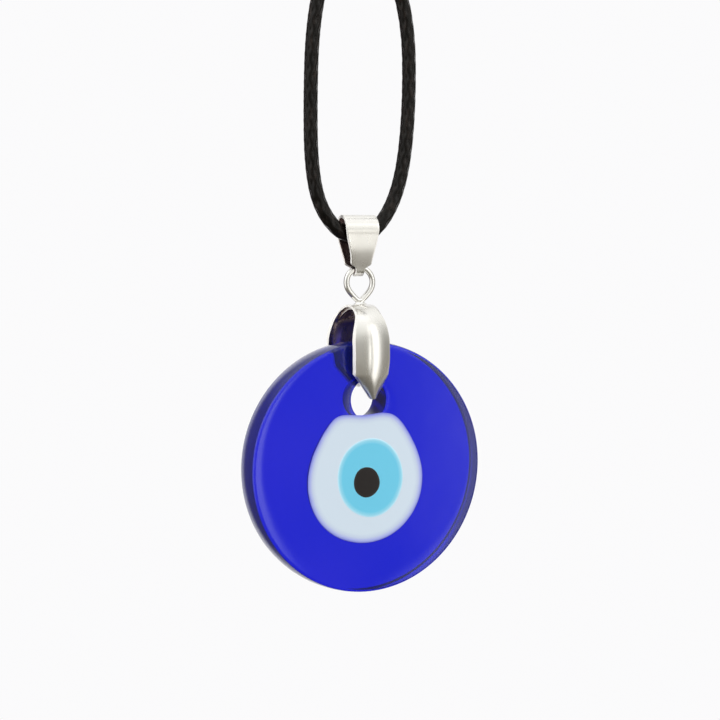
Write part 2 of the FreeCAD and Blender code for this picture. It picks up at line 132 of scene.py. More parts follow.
# The studio as mirrors and glass see it.  Azimuth 0 is straight in front of the disc and
# grows towards +X; each soft box is (azimuths, elevations, soft edge, brightness).
SOFT_BOXES = (
    ((30, 49), (-34, 44), 4.0, (1.45, 1.44, 1.40)),
    ((26, 33), (-8, 40), 3.5, (0.25, 0.25, 0.24)),
    ((6, 19), (-14, 50), 3.0, (0.62, 0.62, 0.60)),
    ((9, 17), (-20, 5), 2.5, (1.10, 1.10, 1.06)),
    ((-46, 6), (-20, 50), 7.0, (0.12, 0.12, 0.11)),
    ((-112, -60), (-25, 50), 6.0, (0.95, 0.95, 0.93)),
    ((85, 115), (-30, 40), 8.0, (0.30, 0.29, 0.27)),
)
# Behind the disc the room is dim.  That begins between the first two azimuths, to either
# side, and ends between the two elevations.
BEHIND = (108, 128)
BEHIND_UP_TO = (20, 45)
BEHIND_SHADE = (0.18, 0.155, 0.16)
WORLD_BY_ELEVATION = (
    (0.00, (0.07, 0.065, 0.06)), (0.33, (0.26, 0.245, 0.21)), (0.45, (0.26, 0.245, 0.22)),
    (0.53, (0.29, 0.285, 0.265)), (0.72, (0.85, 0.85, 0.82)), (1.00, (1.45, 1.45, 1.45)),
)
# The pale wall straight ahead of the camera, and the angles between which it fades out.
BACKDROP = (0.965, 0.962, 0.970)
WALL_FADE = (math.radians(31), math.radians(47))


def make_world():
    world = bpy.data.worlds.new("studio")
    world.use_nodes = True
    tree = world.node_tree
    link = tree.links.new

    def math_node(kind, first, second=None):
        node = tree.nodes.new("ShaderNodeMath")
        node.operation = kind
        for socket, source in zip(node.inputs, (first, second)):
            if isinstance(source, (int, float)):
                socket.default_value = source
            elif source is not None:
                link(source, socket)
        return node.outputs[0]

    def step_up(source, low, high):
        node = tree.nodes.new("ShaderNodeMapRange")
        node.interpolation_type = "SMOOTHSTEP"
        node.inputs["From Min"].default_value = low
        node.inputs["From Max"].default_value = high
        link(source, node.inputs["Value"])
        return node.outputs["Result"]

    def band(source, low, high, soft):
        rise = step_up(source, low - soft, low + soft)
        fall = math_node("SUBTRACT", 1.0, step_up(source, high - soft, high + soft))
        return math_node("MULTIPLY", rise, fall)

    def blend(kind, share, first, second):
        node = tree.nodes.new("ShaderNodeMix")
        node.data_type = "RGBA"
        node.blend_type = kind
        link(share, node.inputs["Factor"])
        for socket, source in ((node.inputs["A"], first), (node.inputs["B"], second)):
            if isinstance(source, tuple):
                socket.default_value = (*source, 1)
            else:
                link(source, socket)
        return node.outputs["Result"]

    where = tree.nodes.new("ShaderNodeTexCoord").outputs["Generated"]
    parts = tree.nodes.new("ShaderNodeSeparateXYZ")
    link(where, parts.inputs[0])
    x, y, z = parts.outputs
    azimuth = math_node("DEGREES", math_node("ARCTAN2", x, math_node("MULTIPLY", y, -1.0)))
    elevation = math_node("DEGREES", math_node("ARCSINE", z))
    level = math_node("ADD", math_node("DIVIDE", elevation, 180.0), 0.5)
    room = ramp(tree, level, WORLD_BY_ELEVATION)
    for (left, right), (low, high), soft, brightness in SOFT_BOXES:
        share = math_node("MULTIPLY", band(azimuth, left, right, soft),
                          band(elevation, low, high, soft * 2))
        room = blend("ADD", share, room, brightness)
    behind = step_up(math_node("ABSOLUTE", azimuth), *BEHIND)
    low_down = math_node("SUBTRACT", 1.0, step_up(elevation, *BEHIND_UP_TO))
    room = blend("MIX", math_node("MULTIPLY", behind, low_down), room, BEHIND_SHADE)
    ahead = tree.nodes.new("ShaderNodeVectorMath")
    ahead.operation = "DOT_PRODUCT"
    ahead.inputs[1].default_value = -camera_axes()[0]
    link(where, ahead.inputs[0])
    wall = step_up(ahead.outputs["Value"], math.cos(WALL_FADE[1]), math.cos(WALL_FADE[0]))
    room = blend("MIX", wall, room, BACKDROP)
    seen = tree.nodes.new("ShaderNodeLightPath").outputs["Is Camera Ray"]
    room = blend("MIX", seen, room, BACKDROP)
    link(room, tree.nodes["Background"].inputs["Color"])
    bpy.context.scene.world = world
    bpy.context.scene.view_settings.view_transform = "Standard"


# ---------------------------------------------------------------- mesh helpers

def new_mesh(name, points, faces, smooth=True):
    mesh = bpy.data.meshes.new(name)
    mesh.from_pydata([tuple(p) for p in points], [], faces)
    mesh.validate()
    if smooth:
        mesh.shade_smooth()
    piece = bpy.data.objects.new(name, mesh)
    bpy.context.scene.collection.objects.link(piece)
    return piece


def grid_faces(rows, columns, close_rows=False, close_columns=False):
    """Quads over a grid of points stored row after row."""
    faces = []
    for i in range(rows if close_rows else rows - 1):
        for j in range(columns if close_columns else columns - 1):
            k, m = (i + 1) % rows, (j + 1) % columns
            faces.append((i * columns + j, i * columns + m, k * columns + m, k * columns + j))
    return faces


def recalculate(piece):
    """Point the faces outwards."""
    work = bmesh.new()
    work.from_mesh(piece.data)
    bmesh.ops.recalc_face_normals(work, faces=work.faces)
    work.to_mesh(piece.data)
    work.free()


def apply_modifiers(piece):
    """Bake a piece's modifiers into its mesh."""
    graph = bpy.context.evaluated_depsgraph_get()
    mesh = bpy.data.meshes.new_from_object(piece.evaluated_get(graph))
    piece.modifiers.clear()
    piece.data = mesh
    piece.data.shade_smooth()


def mark_strip(piece, middle):
    """Mark a folded strip's inner faces, which get painted shade, and its cut edges, which are
    matt.
    """
    inner, edge = [], []
    for vertex in piece.data.vertices:
        outward = vertex.co - middle
        outward.x = 0
        inner.append(1.0 if vertex.normal.dot(outward.normalized()) < -0.3 else 0.0)
        edge.append(smoothstep(0.7, 0.9, abs(vertex.normal.x)))
    for name, marks in (("inner", inner), ("edge", edge)):
        spread = piece.data.attributes.new(name, "FLOAT", "POINT")
        spread.data.foreach_set("value", marks)


def smoothstep(low, high, x):
    t = min(max((x - low) / (high - low), 0.0), 1.0)
    return t * t * (3 - 2 * t)


FLOOR_BELOW = 300 * MM
FLOOR_HALF = 5.0


def make_floor():
    """A plain pale floor far below the hanging object, in the backdrop's own shade."""
    height = DISC.z - FLOOR_BELOW
    corners = [(x * FLOOR_HALF, y * FLOOR_HALF, height)
               for x, y in ((-1, -1), (1, -1), (1, 1), (-1, 1))]
    floor = new_mesh("floor", corners, [(0, 1, 2, 3)], smooth=False)
    made, _, shader = material("pale_floor", Base_Color=(0, 0, 0, 1), Roughness=1.0,
                                  Specular_IOR_Level=0.0, Emission_Strength=1.0)
    shader.inputs["Emission Color"].default_value = (*BACKDROP, 1)
    floor.data.materials.append(made)
    floor.visible_glossy = False
    floor.visible_diffuse = False
    floor.visible_transmission = False
    floor.visible_shadow = False


# ---------------------------------------------------------------- materials

def material(name, **settings):
    """A Principled material; settings are socket names with _ for spaces."""
    made = bpy.data.materials.new(name)
    made.use_nodes = True
    shader = made.node_tree.nodes["Principled BSDF"]
    for socket, number in settings.items():
        shader.inputs[socket.replace("_", " ")].default_value = number
    return made, made.node_tree, shader


def object_noise(tree, scale, detail=4.0, stretch=(1, 1, 1)):
    """Noise in the object's own space, so that it doesn't move with the view."""
    where = tree.nodes.new("ShaderNodeTexCoord")
    spread = tree.nodes.new("ShaderNodeMapping")
    spread.inputs["Scale"].default_value = stretch
    noise = tree.nodes.new("ShaderNodeTexNoise")
    noise.inputs["Scale"].default_value = scale
    noise.inputs["Detail"].default_value = detail
    tree.links.new(where.outputs["Object"], spread.inputs["Vector"])
    tree.links.new(spread.outputs["Vector"], noise.inputs["Vector"])
    return noise.outputs["Fac"]


def ramp(tree, source, stops):
    """A colour ramp over source; stops are (place, colour)."""
    node = tree.nodes.new("ShaderNodeValToRGB")
    while len(node.color_ramp.elements) < len(stops):
        node.color_ramp.elements.new(0.5)
    for element, (place, colour) in zip(node.color_ramp.elements, stops):
        element.position = place
        element.color = colour if len(colour) == 4 else (*colour, 1)
    tree.links.new(source, node.inputs["Fac"])
    return node.outputs["Color"]


def remap(tree, source, low, high):
    node = tree.nodes.new("ShaderNodeMapRange")
    node.inputs["From Min"].default_value = 0.3
    node.inputs["From Max"].default_value = 0.7
    node.inputs["To Min"].default_value = low
    node.inputs["To Max"].default_value = high
    tree.links.new(source, node.inputs["Value"])
    return node.outputs["Result"]


def add_bump(tree, shader, source, strength, distance):
    bump = tree.nodes.new("ShaderNodeBump")
    bump.inputs["Strength"].default_value = strength
    bump.inputs["Distance"].default_value = distance
    tree.links.new(source, bump.inputs["Height"])
    tree.links.new(bump.outputs["Normal"], shader.inputs["Normal"])


def attribute(tree, name):
    node = tree.nodes.new("ShaderNodeAttribute")
    node.attribute_name = name
    return node.outputs["Fac"]


def cobalt_glass():
    """Faintly milky glass, blue right through; the faces are polished, the rim is not."""
    made, tree, shader = material("cobalt_glass", IOR=1.50, Transmission_Weight=0.92,
                                  Specular_IOR_Level=0.25)
    milk = ramp(tree, object_noise(tree, 38, 1.0), [(0.38, (0.06, 0.105, 0.93)),
                                                    (0.64, (0.14, 0.15, 0.95))])
    tree.links.new(milk, shader.inputs["Base Color"])
    rim = attribute(tree, "rim")
    tree.links.new(ramp(tree, rim, [(0.0, (0.015, 0.015, 0.015)), (1.0, (0.09, 0.09, 0.09))]),
                   shader.inputs["Roughness"])
    body = tree.nodes.new("ShaderNodeVolumeAbsorption")
    body.inputs["Color"].default_value = (0.22, 0.26, 0.915, 1)
    body.inputs["Density"].default_value = 860
    tree.links.new(body.outputs["Volume"], tree.nodes["Material Output"].inputs["Volume"])
    add_bump(tree, shader, object_noise(tree, 260, 1.0), 0.05, 0.0002)
    return made


def opaque_glass(name, stops):
    """Opaque coloured glass, streaky, its colour running into the layer round it.

    stops are (distance from the outline as a share, colour), from the outline inwards."""
    made, tree, shader = material(name, Roughness=0.13, IOR=1.52, Coat_Weight=0.25,
                                  Coat_Roughness=0.05)
    streaks = object_noise(tree, 300, 3.0, (1, 1, 1.5))
    mixed = tree.nodes.new("ShaderNodeMath")
    mixed.operation = "MULTIPLY_ADD"
    tree.links.new(streaks, mixed.inputs[0])
    mixed.inputs[1].default_value = 0.16
    offset = tree.nodes.new("ShaderNodeMath")
    offset.operation = "SUBTRACT"
    tree.links.new(attribute(tree, "inside"), offset.inputs[0])
    offset.inputs[1].default_value = 0.08
    tree.links.new(offset.outputs[0], mixed.inputs[2])
    tree.links.new(ramp(tree, mixed.outputs[0], stops), shader.inputs["Base Color"])
    add_bump(tree, shader, object_noise(tree, 420, 2.0), 0.06, 0.0001)
    return made


# Painted shade: the colour of a folded strip's inner faces is multiplied by this, darkening them
# where shade falls inside the fold.
INNER_PAINTED_SHADE = (0.42, 0.33, 0.33, 1)


def plated(name, tint, roughness, grain):
    """Silver plating with tumbling marks that follow the strip, and painted shade inside a fold."""
    made, tree, shader = material(name, Metallic=1.0)
    cloud = object_noise(tree, 240, 3.0)
    colour = ramp(tree, cloud, [(0.3, tuple(0.93 * c for c in tint)), (0.7, tint)])
    # Painted shade: darken the colour on the inner faces of a fold.
    inner_shade = tree.nodes.new("ShaderNodeMix")
    inner_shade.data_type = "RGBA"
    inner_shade.blend_type = "MULTIPLY"
    inner_shade.inputs["B"].default_value = INNER_PAINTED_SHADE
    tree.links.new(attribute(tree, "inner"), inner_shade.inputs["Factor"])
    tree.links.new(colour, inner_shade.inputs["A"])
    tree.links.new(inner_shade.outputs["Result"], shader.inputs["Base Color"])
    matt = ramp(tree, attribute(tree, "edge"), [(0.0, (1, 1, 1)), (1.0, (0.25, 0.25, 0.25))])
    tree.links.new(matt, shader.inputs["Metallic"])
    scuffs = object_noise(tree, 600, 4.0, grain)
    tree.links.new(remap(tree, scuffs, roughness * 0.9, roughness * 1.12),
                   shader.inputs["Roughness"])
    add_bump(tree, shader, scuffs, 0.014, 0.00008)
    return made


def waxed_cord():
    """Black waxed cotton: nearly black, brown in the worn ridges, a faint waxy shine."""
    made, tree, shader = material("waxed_cord", Specular_IOR_Level=0.17, Coat_Weight=0.04,
                                  Coat_Roughness=0.16)
    fibre = object_noise(tree, 1800, 6.0, (1, 1, 0.4))
    colour = ramp(tree, fibre, [(0.3, (0.0015, 0.0013, 0.001)), (0.55, (0.004, 0.003, 0.0025)),
                                (0.8, (0.018, 0.013, 0.011))])
    tree.links.new(colour, shader.inputs["Base Color"])
    tree.links.new(remap(tree, object_noise(tree, 700, 3.0), 0.17, 0.32),
                   shader.inputs["Roughness"])
    add_bump(tree, shader, fibre, 0.16, 0.00012)
    return made


def spring_steel():
    made, tree, shader = material("spring_steel", Metallic=1.0, Roughness=0.35)
    cloud = object_noise(tree, 2500, 3.0)
    colour = ramp(tree, cloud, [(0.35, (0.30, 0.30, 0.31)), (0.65, (0.42, 0.42, 0.43))])
    tree.links.new(colour, shader.inputs["Base Color"])
    return made


# ---------------------------------------------------------------- glass disc

# The rim's rounded edge, its crown from face to face, and how far it stands proud of the
# nominal radius, all round and more at the bottom.
RIM_ROUND = 0.6 * MM
RIM_SAG = 0.16 * MM
RIM_PROUD = 0.17 * MM
RIM_LOW = 0.14 * MM
RIM_UNEVEN = 0.03 * MM
HOLE_ROUND = 0.35 * MM
SIDE_STEPS = 6
AROUND = 288
FACE_STEPS = 10
ROUND_STEPS = 6


def disc_section():
    """The disc's section as (share from hole edge to rim, depth, inset at the hole, at the rim)."""
    half = GLASS_HALF
    section = []
    for step in range(ROUND_STEPS + 1):
        turn = math.radians(90) * step / ROUND_STEPS
        section.append((0.0, -half + HOLE_ROUND * (1 - math.sin(turn)),
                        HOLE_ROUND * (1 - math.cos(turn)), 0.0))
    for step in range(1, FACE_STEPS):
        share = step / FACE_STEPS
        section.append((share, -half, HOLE_ROUND, RIM_ROUND))
    for step in range(ROUND_STEPS + 1):
        turn = math.radians(90) * step / ROUND_STEPS
        section.append((1.0, -half + RIM_ROUND * (1 - math.cos(turn)), 0.0,
                        RIM_SAG + (RIM_ROUND - RIM_SAG) * (1 - math.sin(turn))))
    for step in range(1, SIDE_STEPS):
        depth = (half - RIM_ROUND) * (1 - step / SIDE_STEPS)
        section.append((1.0, -depth, 0.0, RIM_SAG * (depth / (half - RIM_ROUND)) ** 2))
    section.append((1.0, 0.0, 0.0, 0.0))
    return section + [(share, -depth, hole, rim)
                      for share, depth, hole, rim in reversed(section[:-1])]


def wobble(turn, seed, size):
    """A small smooth unevenness round an outline, the same on every run."""
    return size * (math.sin(2 * turn + seed) + 0.6 * math.sin(3 * turn + 2.1 * seed)
                   + 0.35 * math.sin(5 * turn + 0.7 * seed)) / 2


def make_disc():
    section = disc_section()
    points = []
    for step in range(AROUND):
        turn = 2 * math.pi * step / AROUND
        along = Vector((math.cos(turn), 0, math.sin(turn)))
        rim_r = DISC_R + RIM_PROUD + wobble(turn, 0.8, RIM_UNEVEN)
        rim_r += RIM_LOW * max(-math.sin(turn), 0) ** 2
        for share, depth, hole_in, rim_in in section:
            inner = Vector((0, 0, HOLE_UP)) + along * (HOLE_R + hole_in)
            inner.x *= HOLE_SQUEEZE
            outer = along * (rim_r - rim_in)
            flat = inner.lerp(outer, share)
            points.append(DISC + flat + Vector((0, depth, 0)))
    disc = new_mesh("glass_body", points, grid_faces(AROUND, len(section), True, True))
    recalculate(disc)
    rim = [1 - smoothstep(RIM_SAG, RIM_ROUND, in_rim) if share == 1.0 else 0.0
           for share, _, _, in_rim in section]
    spread = disc.data.attributes.new("rim", "FLOAT", "POINT")
    spread.data.foreach_set("value", rim * AROUND)
    disc.data.materials.append(MATERIALS["cobalt_glass"])
    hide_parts("glass_disc")
    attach(disc, "disc")


# ---------------------------------------------------------------- eye

WHITE_MIDDLE = (-0.6, -1.9)
IRIS_MIDDLE, IRIS_R = (0.15, -1.5), 5.3
PUPIL_MIDDLE, PUPIL_R = (-0.45, -2.1), 2.1
# A layer's face sinks into the one under it over this width at its outline.
EDGE_ROLL = 0.12
EDGE_SUNK = 0.02
# The white drop's outline as (degrees, distance from its middle): round, with a broad neck.
DROP = (
    (-90, 8.85), (0, 8.85), (20, 8.9), (38, 9.2), (52, 9.75), (62, 10.2),
    (70, 10.1), (78, 9.6), (90, 9.15), (102, 9.5), (109, 10.05), (116, 10.3), (127, 9.7),
    (142, 9.1), (160, 8.85), (180, 8.8), (225, 8.8), (270, 8.85),
)


def drop_outline(turn):
    """Distance from the drop's middle to its outline, smoothed over a few degrees."""
    degrees = (math.degrees(turn) + 90) % 360 - 90
    turns, reaches = zip(*DROP)
    near = [float(np.interp(degrees + shift, turns, reaches, period=360))
            for shift in (-5, -2.5, 0, 2.5, 5)]
    return sum(near) / len(near)


def button(name, centre, reach, proud, soft_edge, depth, steps=(192, 28)):
    """A fused layer: its face stands a hair proud and rounds off at the outline."""
    around, rings = steps
    half = GLASS_HALF / MM
    points = [at(centre[0], -half - proud, centre[1])]
    inside = [1.0]
    for ring in range(1, rings + 1):
        share = 1 - (1 - ring / rings) ** 1.6
        for step in range(around):
            turn = 2 * math.pi * step / around
            edge = reach(turn)
            out = share * edge
            left = edge - out
            sunk = (proud + EDGE_SUNK) * max(0.0, 1 - left / EDGE_ROLL) ** 2
            points.append(at(centre[0] + out * math.cos(turn), -half - proud + sunk,
                             centre[1] + out * math.sin(turn)))
            inside.append(min(left / soft_edge, 1.0))
    last = 1 + (rings - 1) * around
    back_start = len(points)
    for step in range(around):
        turn = 2 * math.pi * step / around
        out = reach(turn) * 0.97
        points.append(at(centre[0] + out * math.cos(turn), -half + depth,
                         centre[1] + out * math.sin(turn)))
        inside.append(0.0)
    points.append(at(centre[0], -half + depth, centre[1]))
    inside.append(0.0)
    faces = [(0, 1 + (j + 1) % around, 1 + j) for j in range(around)]
    for ring in range(rings - 1):
        start = 1 + ring * around
        for j in range(around):
            k = (j + 1) % around
            faces.append((start + j, start + k, start + around + k, start + around + j))
    for j in range(around):
        k = (j + 1) % around
        faces.append((last + j, last + k, back_start + k, back_start + j))
        faces.append((back_start + j, back_start + k, len(points) - 1))
    piece = new_mesh(name, points, faces)
    recalculate(piece)
    spread = piece.data.attributes.new("inside", "FLOAT", "POINT")
    spread.data.foreach_set("value", inside)
    return piece


def make_eye():
    def white_reach(turn):
        return drop_outline(turn) + wobble(turn, 1.3, 0.12)

    def iris_reach(turn):
        tall = 0.34 * math.sin(turn) ** 2 - 0.2 * math.cos(turn) ** 2
        return IRIS_R + tall + wobble(turn, 2.4, 0.08)

    def pupil_reach(turn):
        return PUPIL_R + 0.08 * math.sin(turn) ** 2 + wobble(turn, 4.1, 0.06)

    # Piece, node, slot, middle, outline, how proud, width of the soft edge, depth.
    layers = (
        ("white_layer", "eye_white", "white_glass", WHITE_MIDDLE, white_reach,
         0.02, 1.5, 1.6),
        ("iris_layer", "eye_iris", "light_blue_glass", IRIS_MIDDLE, iris_reach,
         0.035, 1.1, 0.9),
        ("pupil_layer", "eye_pupil", "black_glass", PUPIL_MIDDLE, pupil_reach,
         0.05, 0.5, 0.45),
    )
    for name, node, slot, centre, reach, proud, soft_edge, depth in layers:
        piece = button(name, centre, reach, proud, soft_edge, depth)
        piece.data.materials.append(MATERIALS[slot])
        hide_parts(node)
        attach(piece, "disc")


# ---------------------------------------------------------------- pinch bail

LEAF_SHEET = 0.7
FOLD_TOP = 22.7
BULGE = 4.2
BULGE_UP = 16.0
FOOT_GAP = 0.15
FRONT_LEAF = {"tip": 10.0, "corner": 13.2, "dome": 0.8, "aside": -0.42, "tip_aside": 0.2,
              "more": 0.0}
BACK_LEAF = {"tip": 11.0, "corner": 14.2, "dome": 0.6, "aside": -0.42, "tip_aside": 0.0,
             "more": 0.75}
TOP_ASIDE = -0.25
LEAF_HALF = 2.55
TIP_HALF = 0.5
FOLD_HALF = 1.6
RIDGE_ASIDE = -0.18
# The dome fades out from here to the fold and is flatter at the tip; the leaf's sides turn in
# to the glass as low walls, and its pointed end has a narrow facet.
DOME_ENDS = FOLD_TOP - 4.5
TIP_DOME = 0.72
WALL = 0.5
WALL_ENDS = (FOLD_TOP - 3.5, FOLD_TOP - 0.6)
FACET = 0.03
FACET_WIDE = 1.1
GLASS_GAP = 0.05


def bail_middle_line():
    """Centre depth, centre height and radius of the leaf arc, and the fold's radius."""
    foot = GLASS_HALF / MM + FOOT_GAP + LEAF_SHEET / 2
    rise = BULGE_UP - FRONT_LEAF["tip"]
    out = BULGE - foot
    leaf = (rise ** 2 + out ** 2) / (2 * out)
    centre = BULGE - leaf
    head = FOLD_TOP - LEAF_SHEET / 2 - BULGE_UP
    fold = (leaf ** 2 - centre ** 2 - head ** 2) / (2 * (leaf - head))
    return centre, leaf, fold


def bail_point(height, half_sign):
    """Depth of the strip's middle line and its outward direction, at a height on one leaf."""
    centre, leaf, fold = bail_middle_line()
    fold_up = FOLD_TOP - LEAF_SHEET / 2 - fold
    lean = math.atan2(fold_up - BULGE_UP, -centre)
    if height < BULGE_UP + leaf * math.sin(lean):
        turn = math.asin((height - BULGE_UP) / leaf)
        depth = centre + leaf * math.cos(turn)
    else:
        turn = math.asin(min((height - fold_up) / fold, 1.0))
        depth = fold * math.cos(turn)
    return half_sign * depth, Vector((0, half_sign * math.cos(turn), math.sin(turn)))


def leaf_half_width(height, leaf):
    """Half the strip's width at a height: a kite with rounded shoulders."""
    tip, corner = leaf["tip"], leaf["corner"]
    if height < corner:
        share = (height - tip) / (corner - tip)
        return TIP_HALF + (LEAF_HALF - 0.1 - TIP_HALF) * share
    if height < BULGE_UP + 1.5:
        return LEAF_HALF - 0.1 * (1 - smoothstep(corner, corner + 2.0, height))
    top = smoothstep(BULGE_UP + 1.5, FOLD_TOP + 0.5, height)
    return LEAF_HALF + (FOLD_HALF - LEAF_HALF) * top


ACROSS = 36
FOLD_STEPS = 90
FLAT_SHARE = 0.9


def leaf_aside(height, leaf):
    """How far a row of the leaf sits to one side: the bail hangs a little askew."""
    low = min(max((height - leaf["tip"]) / (leaf["corner"] - leaf["tip"]), 0.0), 1.0)
    high = smoothstep(BULGE_UP + 1.0, FOLD_TOP, height)
    middle = leaf["tip_aside"] + (leaf["aside"] - leaf["tip_aside"]) * low
    return middle + (TOP_ASIDE - leaf["aside"]) * high


def leaf_row(height, sign, leaf):
    """A row of points across one leaf: domed, its sides and pointed end turned to the glass."""
    depth, outward = bail_point(height, sign)
    depth += sign * leaf["more"] * (smoothstep(leaf["tip"], BULGE_UP, height)
                                    * (1 - smoothstep(FOLD_TOP - 2.5, FOLD_TOP, height)))
    half = leaf_half_width(height, leaf) - LEAF_SHEET / 3
    lift = leaf["dome"] * (1 - smoothstep(DOME_ENDS, FOLD_TOP, height))
    lift *= TIP_DOME + (1 - TIP_DOME) * smoothstep(leaf["tip"], leaf["corner"], height)
    room = abs(depth) - GLASS_HALF / MM - LEAF_SHEET / 2 - GLASS_GAP
    wall = min(WALL, max(room, 0)) * (1 - smoothstep(*WALL_ENDS, height))
    slant = (height - leaf["tip"]) / (leaf["corner"] - leaf["tip"])
    point_half = TIP_HALF + (LEAF_HALF - 0.1 - TIP_HALF) * slant
    aside = leaf_aside(height, leaf)
    row = []
    for j in range(ACROSS + 1):
        v = 2 * j / ACROSS - 1
        share = min(abs(v) / FLAT_SHARE, 1.0)
        over = max(abs(v) - FLAT_SHARE, 0) / (1 - FLAT_SHARE)
        x = math.copysign(half * share, v)
        from_point = (point_half - abs(x)) * 0.82
        facet = min(FACET, max(room, 0)) * max(0.0, 1 - max(from_point, 0) / FACET_WIDE)
        off_ridge = abs(v - RIDGE_ASIDE) / (1 + math.copysign(-RIDGE_ASIDE, v - RIDGE_ASIDE))
        raised = lift * (1 - min(off_ridge, 1.0) ** 1.9) - max(wall * over, facet)
        row.append(at(x + aside, depth, height) + outward * raised * MM)
    return row


def sheet_from_rows(name, rows, thickness, edge_width, even, middle):
    """A bent sheet-metal strip with softened edges, from rows of points across it."""
    points = [p for row in rows for p in row]
    strip = new_mesh(name, points, grid_faces(len(rows), len(rows[0])))
    recalculate(strip)
    sheet = strip.modifiers.new("sheet", "SOLIDIFY")
    sheet.thickness = thickness * MM
    sheet.offset = 0
    sheet.use_even_offset = even
    edge = strip.modifiers.new("edge", "BEVEL")
    edge.width = edge_width * MM
    edge.segments = 3
    edge.limit_method = "ANGLE"
    edge.angle_limit = math.radians(50)
    apply_modifiers(strip)
    mark_strip(strip, middle)
    strip.data.materials.append(MATERIALS["silver_plate"])
    return strip


def make_pinch_bail():
    top = FOLD_TOP - LEAF_SHEET / 2

    def heights(leaf):
        """Heights from a leaf's tip to just under the fold's top, closer where it turns."""
        shares = [step / FOLD_STEPS for step in range(FOLD_STEPS)]
        return [leaf["tip"] + (top - leaf["tip"]) * math.sin(share * math.pi / 2)
                for share in shares]

    rows = [leaf_row(height, -1, FRONT_LEAF) for height in heights(FRONT_LEAF)]
    rows.append(leaf_row(top, -1, FRONT_LEAF))
    rows += [leaf_row(height, 1, BACK_LEAF) for height in reversed(heights(BACK_LEAF))]
    strip = sheet_from_rows("folded_leaf", rows, LEAF_SHEET, 0.12, True, at(0, 0, BULGE_UP))
    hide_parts("pinch_bail")
    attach(strip, "pinch_bail")


RING_WIRE = 0.43
RING_R = 2.0
RING_UP = 25.8
RING_DROP = 0.6
RING_PINCH = 0.3
RING_ASIDE = -0.25


def make_ring():
    """The soldered ring: round above, drawn together at its foot, of slightly uneven wire."""
    along, around = 120, 20

    def middle(turn):
        foot = max(0.0, -math.cos(turn)) ** 5
        return Vector((RING_ASIDE + RING_R * math.sin(turn) * (1 - RING_PINCH * foot), 0,
                       RING_UP + RING_R * math.cos(turn) - RING_DROP * foot))

    points = []
    for i in range(along):
        turn = 2 * math.pi * i / along
        ahead = (middle(turn + 0.02) - middle(turn - 0.02)).normalized()
        other = Vector((0, 1, 0)).cross(ahead)
        radius = RING_WIRE + 0.01 * math.sin(3 * turn + 1)
        for j in range(around):
            spin = 2 * math.pi * j / around
            spot = middle(turn) + Vector((0, 1, 0)) * radius * math.sin(spin)
            spot += other * radius * math.cos(spin)
            points.append(at(spot.x, spot.y, spot.z))
    ring = new_mesh("soldered_ring", points, grid_faces(along, around, True, True))
    recalculate(ring)
    ring.data.materials.append(MATERIALS["plated_wire"])
    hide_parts("pinch_bail_ring")
    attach(ring, "pinch_bail")


SOLDER_SUNK = 0.15
SOLDER_NECK = 0.42
SOLDER_FLARE = 0.62


def make_solder():
    """The small uneven fillet of solder between the ring's foot and the fold, 1 mm tall."""
    around, levels = 36, 14
    points = []
    for i in range(levels + 1):
        share = i / levels
        height = FOLD_TOP - SOLDER_SUNK + share
        flare = SOLDER_NECK + SOLDER_FLARE * (1 - share) ** 2.4
        for j in range(around):
            turn = 2 * math.pi * j / around
            lump = 1 + 0.10 * math.sin(3 * turn + 7 * share) + 0.06 * math.sin(5 * turn + 1.7)
            wide = flare * lump * (1.25 - 0.25 * share)
            points.append(at(RING_ASIDE + wide * math.cos(turn),
                             0.72 * flare * lump * math.sin(turn), height))
    faces = grid_faces(levels + 1, around, False, True)
    faces.append(tuple(range(around)))
    faces.append(tuple(levels * around + j for j in reversed(range(around))))
    blob = new_mesh("solder_joint", points, faces)
    recalculate(blob)
    blob.data.materials.append(MATERIALS["plated_wire"])
    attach(blob, "pinch_bail")


# ---------------------------------------------------------------- ribbon bail

STRIP_SHEET = 0.45
STRIP_ACROSS = 16
# Inner radius and height of the bend over the cord and of the small eye for the ring.
STRIP_TOP = (1.75, 33.0)
STRIP_EYE = (0.75, 27.8)
# Half widths of the strip: at its lips, just above the eye, and at the top.
LIP_HALF = (0.58, 0.70)
WAIST_HALF = 1.5
STRIP_HALF = 2.42
STRIP_ASIDE = -0.5
STRIP_TURN = math.radians(-4)
STRIP_BOW = 0.28


def ribbon_path():
    """The strip's middle line from one lip round the eye, over the top and back: (y, z)."""
    big, top = STRIP_TOP[0] + STRIP_SHEET / 2, STRIP_TOP[1]
    small, eye = STRIP_EYE[0] + STRIP_SHEET / 2, STRIP_EYE[1]
    lean = math.asin((big - small) / (top - eye))
    seam = math.radians(4)
    path = []
    for step in range(17):
        turn = -math.pi / 2 - seam - (math.pi / 2 - lean - seam) * step / 16
        path.append((small * math.cos(turn), eye + small * math.sin(turn)))
    low = (-small * math.cos(lean), eye - small * math.sin(lean))
    high = (-big * math.cos(lean), top - big * math.sin(lean))
    for step in range(1, 32):
        share = step / 32
        bow = STRIP_BOW * math.sin(math.pi * share) ** 1.3
        path.append((low[0] + (high[0] - low[0]) * share - bow,
                     low[1] + (high[1] - low[1]) * share))
    for step in range(33):
        turn = math.pi + lean - (math.pi / 2 + lean) * step / 32
        path.append((big * math.cos(turn), top + big * math.sin(turn)))
    return path + [(-y, z) for y, z in reversed(path[:-1])]


def ribbon_half_width(height):
    eye = STRIP_EYE[1]
    lip = LIP_HALF[0] + (LIP_HALF[1] - LIP_HALF[0]) * smoothstep(eye - 0.6, eye + 0.1, height)
    waist = lip + (WAIST_HALF - lip) * smoothstep(eye - 0.05, eye + 0.6, height)
    return waist + (STRIP_HALF - waist) * smoothstep(eye + 0.3, STRIP_TOP[1] + 0.6, height)


